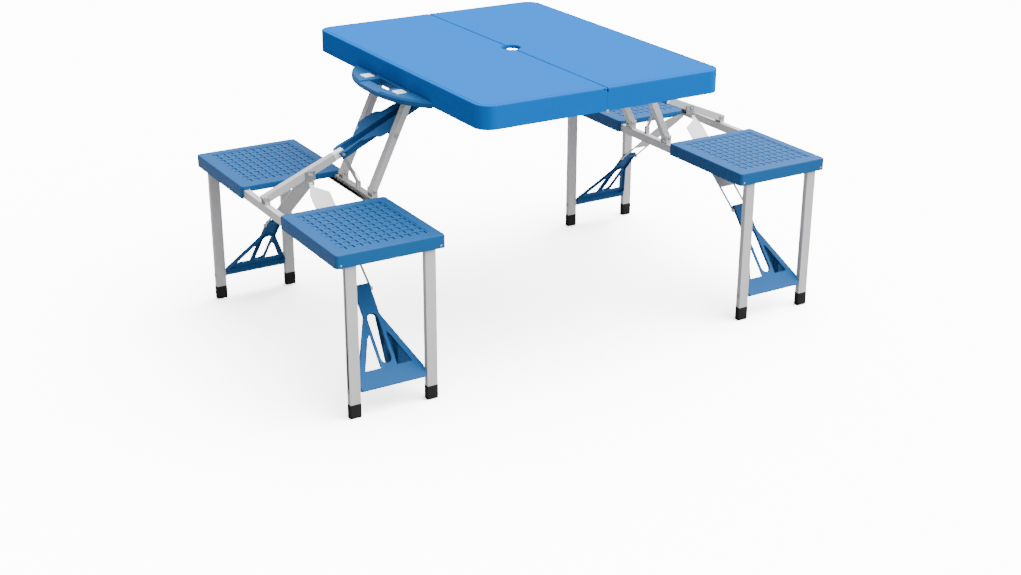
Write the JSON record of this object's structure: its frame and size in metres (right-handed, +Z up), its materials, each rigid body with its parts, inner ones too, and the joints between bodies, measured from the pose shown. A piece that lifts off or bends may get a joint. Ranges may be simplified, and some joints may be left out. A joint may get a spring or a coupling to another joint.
{
  "type": "folding picnic table",
  "caption": "Folding camping table: a two-part suitcase top with handle, seats attached by folding aluminium frames, braced legs and rubber feet.",
  "frame": {"origin": "on the ground under the middle of the open table", "axes": "+X across the two halves away from the handle, +Y along the seam, +Z up"},
  "size_m": [1.35, 0.8536, 0.673],
  "materials": {
    "blue_top": "moulded blue plastic",
    "blue_seat": "moulded darker blue plastic",
    "aluminium": "mill finish",
    "zinc_steel": "zinc plated",
    "black_rubber": "matte",
    "white_plastic": "moulded white plastic"
  },
  "bodies": {
    "table_left": {"half_left": "blue_top", "handle": "blue_seat", "hinge_rod_near": "zinc_steel", "hinge_rod_far": "zinc_steel"},
    "table_right": {"half_right": "blue_top"},
    "latch_near": {"latch_button_near": "white_plastic"},
    "latch_far": {"latch_button_far": "white_plastic"},
    "left_arms": {"left_near_arm": "aluminium", "left_far_arm": "aluminium"},
    "left_frame": {"left_rail_inner": "aluminium", "left_rail_outer": "aluminium", "left_near_seat": "blue_seat", "left_far_seat": "blue_seat"},
    "left_brace": {"left_brace_tube": "aluminium", "left_knuckle": "white_plastic"},
    "left_hanger": {"left_strip_hanger": "zinc_steel"},
    "left_stay_link": {"left_stay": "blue_seat"},
    "left_strut_link": {"left_lock_strut": "zinc_steel"},
    "left_near_legs": {"left_near_leg_inner": "aluminium", "left_near_leg_outer": "aluminium", "left_near_foot_inner": "black_rubber", "left_near_foot_outer": "black_rubber", "left_near_axle": "zinc_steel"},
    "left_near_triangle_link": {"left_near_triangle": "blue_seat"},
    "left_near_strip_link": {"left_near_strip": "aluminium"},
    "left_far_legs": {"left_far_leg_inner": "aluminium", "left_far_leg_outer": "aluminium", "left_far_foot_inner": "black_rubber", "left_far_foot_outer": "black_rubber", "left_far_axle": "zinc_steel"},
    "left_far_triangle_link": {"left_far_triangle": "blue_seat"},
    "left_far_strip_link": {"left_far_strip": "aluminium"},
    "right_arms": {"right_near_arm": "aluminium", "right_far_arm": "aluminium"},
    "right_frame": {"right_rail_inner": "aluminium", "right_rail_outer": "aluminium", "right_near_seat": "blue_seat", "right_far_seat": "blue_seat"},
    "right_brace": {"right_brace_tube": "aluminium", "right_knuckle": "white_plastic"},
    "right_hanger": {"right_strip_hanger": "zinc_steel"},
    "right_stay_link": {"right_stay": "blue_seat"},
    "right_strut_link": {"right_lock_strut": "zinc_steel"},
    "right_near_legs": {"right_near_leg_inner": "aluminium", "right_near_leg_outer": "aluminium", "right_near_foot_inner": "black_rubber", "right_near_foot_outer": "black_rubber", "right_near_axle": "zinc_steel"},
    "right_near_triangle_link": {"right_near_triangle": "blue_seat"},
    "right_near_strip_link": {"right_near_strip": "aluminium"},
    "right_far_legs": {"right_far_leg_inner": "aluminium", "right_far_leg_outer": "aluminium", "right_far_foot_inner": "black_rubber", "right_far_foot_outer": "black_rubber", "right_far_axle": "zinc_steel"},
    "right_far_triangle_link": {"right_far_triangle": "blue_seat"},
    "right_far_strip_link": {"right_far_strip": "aluminium"}
  },
  "joints": [
    {"name": "centre_hinge", "type": "hinge", "parent": "table_left", "child": "table_right", "pos_m": [0, 0, 0.618], "axis": [0, 1, 0], "range_deg": [0, 60]},
    {"name": "latch_press_near", "type": "slide", "parent": "table_left", "child": "latch_near", "axis": [0, 0, -1], "range_m": [0, 0.003], "stiffness_N_per_m": 400, "springref_m": -0.003},
    {"name": "latch_press_far", "type": "slide", "parent": "table_left", "child": "latch_far", "axis": [0, 0, -1], "range_m": [0, 0.003], "stiffness_N_per_m": 400, "springref_m": -0.003},
    {"name": "left_fold", "type": "hinge", "parent": "table_left", "child": "left_arms", "pos_m": [-0.302, 0, 0.654], "axis": [0, -1, 0], "range_deg": [0, 116.57]},
    {"name": "left_frame_level", "type": "hinge", "parent": "left_arms", "child": "left_frame", "pos_m": [-0.424, 0, 0.4], "axis": [0, -1, 0], "range_deg": [-116.59, 0]},
    {"name": "left_brace_turn", "type": "hinge", "parent": "left_frame", "child": "left_brace", "pos_m": [-0.66, 0, 0.398], "axis": [0, -1, 0], "range_deg": [-22.52, 0]},
    {"name": "left_hanger_drop", "type": "slide", "parent": "left_frame", "child": "left_hanger", "axis": [0, 0, -1], "range_m": [0, 0.04393]},
    {"name": "left_stay_turn", "type": "hinge", "parent": "left_arms", "child": "left_stay_link", "pos_m": [-0.363, 0, 0.527], "axis": [0, -1, 0], "range_deg": [0, 38.18]},
    {"name": "left_strut_turn", "type": "hinge", "parent": "left_frame", "child": "left_strut_link", "pos_m": [-0.428, -0.0112, 0.4], "axis": [0, -1, 0], "range_deg": [0, 63.83]},
    {"name": "left_near_leg_fold", "type": "hinge", "parent": "left_frame", "child": "left_near_legs", "pos_m": [-0.542, -0.399, 0.3697], "axis": [1, 0, 0], "range_deg": [0, 90.02]},
    {"name": "left_near_triangle_turn", "type": "hinge", "parent": "left_near_legs", "child": "left_near_triangle_link", "pos_m": [-0.542, -0.399, 0.066], "axis": [1, 0, 0], "range_deg": [0, 41.2]},
    {"name": "left_near_strip_turn", "type": "hinge", "parent": "left_hanger", "child": "left_near_strip_link", "pos_m": [-0.554, -0.019, 0.42041], "axis": [1, 0, 0], "range_deg": [-38.69, 0]},
    {"name": "left_far_leg_fold", "type": "hinge", "parent": "left_frame", "child": "left_far_legs", "pos_m": [-0.542, 0.399, 0.3697], "axis": [-1, 0, 0], "range_deg": [0, 90.02]},
    {"name": "left_far_triangle_turn", "type": "hinge", "parent": "left_far_legs", "child": "left_far_triangle_link", "pos_m": [-0.542, 0.399, 0.066], "axis": [-1, 0, 0], "range_deg": [0, 41.2]},
    {"name": "left_far_strip_turn", "type": "hinge", "parent": "left_hanger", "child": "left_far_strip_link", "pos_m": [-0.554, 0.019, 0.42041], "axis": [-1, 0, 0], "range_deg": [-38.69, 0]},
    {"name": "right_fold", "type": "hinge", "parent": "table_right", "child": "right_arms", "pos_m": [0.302, 0, 0.654], "axis": [0, 1, 0], "range_deg": [0, 116.57]},
    {"name": "right_frame_level", "type": "hinge", "parent": "right_arms", "child": "right_frame", "pos_m": [0.424, 0, 0.4], "axis": [0, 1, 0], "range_deg": [-116.59, 0]},
    {"name": "right_brace_turn", "type": "hinge", "parent": "right_frame", "child": "right_brace", "pos_m": [0.66, 0, 0.398], "axis": [0, 1, 0], "range_deg": [-22.52, 0]},
    {"name": "right_hanger_drop", "type": "slide", "parent": "right_frame", "child": "right_hanger", "axis": [0, 0, -1], "range_m": [0, 0.04393]},
    {"name": "right_stay_turn", "type": "hinge", "parent": "right_arms", "child": "right_stay_link", "pos_m": [0.363, 0, 0.527], "axis": [0, 1, 0], "range_deg": [0, 38.18]},
    {"name": "right_strut_turn", "type": "hinge", "parent": "right_frame", "child": "right_strut_link", "pos_m": [0.428, 0.0112, 0.4], "axis": [0, 1, 0], "range_deg": [0, 63.83]},
    {"name": "right_near_leg_fold", "type": "hinge", "parent": "right_frame", "child": "right_near_legs", "pos_m": [0.542, -0.399, 0.3697], "axis": [1, 0, 0], "range_deg": [0, 90.02]},
    {"name": "right_near_triangle_turn", "type": "hinge", "parent": "right_near_legs", "child": "right_near_triangle_link", "pos_m": [0.542, -0.399, 0.066], "axis": [1, 0, 0], "range_deg": [0, 41.2]},
    {"name": "right_near_strip_turn", "type": "hinge", "parent": "right_hanger", "child": "right_near_strip_link", "pos_m": [0.554, -0.019, 0.42041], "axis": [1, 0, 0], "range_deg": [-38.69, 0]},
    {"name": "right_far_leg_fold", "type": "hinge", "parent": "right_frame", "child": "right_far_legs", "pos_m": [0.542, 0.399, 0.3697], "axis": [-1, 0, 0], "range_deg": [0, 90.02]},
    {"name": "right_far_triangle_turn", "type": "hinge", "parent": "right_far_legs", "child": "right_far_triangle_link", "pos_m": [0.542, 0.399, 0.066], "axis": [-1, 0, 0], "range_deg": [0, 41.2]},
    {"name": "right_far_strip_turn", "type": "hinge", "parent": "right_hanger", "child": "right_far_strip_link", "pos_m": [0.554, 0.019, 0.42041], "axis": [-1, 0, 0], "range_deg": [-38.69, 0]}
  ],
  "couplings": [
    {"joint": "left_frame_level", "follows": "left_fold", "ratio": -1},
    {"joint": "left_brace_turn", "follows": "left_fold", "ratio": -0.19302},
    {"joint": "left_hanger_drop", "follows": "left_fold", "m_per_rad": 0.021581},
    {"joint": "left_stay_turn", "follows": "left_fold", "ratio": 0.32738},
    {"joint": "left_strut_turn", "follows": "left_fold", "ratio": 0.5474},
    {"joint": "left_near_leg_fold", "follows": "left_fold", "ratio": 0.77207},
    {"joint": "left_near_triangle_turn", "follows": "left_fold", "ratio": 0.35325},
    {"joint": "left_near_strip_turn", "follows": "left_fold", "ratio": -0.33177},
    {"joint": "left_far_leg_fold", "follows": "left_fold", "ratio": 0.77207},
    {"joint": "left_far_triangle_turn", "follows": "left_fold", "ratio": 0.35325},
    {"joint": "left_far_strip_turn", "follows": "left_fold", "ratio": -0.33177},
    {"joint": "right_frame_level", "follows": "right_fold", "ratio": -1},
    {"joint": "right_brace_turn", "follows": "right_fold", "ratio": -0.19302},
    {"joint": "right_hanger_drop", "follows": "right_fold", "m_per_rad": 0.021581},
    {"joint": "right_stay_turn", "follows": "right_fold", "ratio": 0.32738},
    {"joint": "right_strut_turn", "follows": "right_fold", "ratio": 0.5474},
    {"joint": "right_near_leg_fold", "follows": "right_fold", "ratio": 0.77207},
    {"joint": "right_near_triangle_turn", "follows": "right_fold", "ratio": 0.35325},
    {"joint": "right_near_strip_turn", "follows": "right_fold", "ratio": -0.33177},
    {"joint": "right_far_leg_fold", "follows": "right_fold", "ratio": 0.77207},
    {"joint": "right_far_triangle_turn", "follows": "right_fold", "ratio": 0.35325},
    {"joint": "right_far_strip_turn", "follows": "right_fold", "ratio": -0.33177}
  ]
}
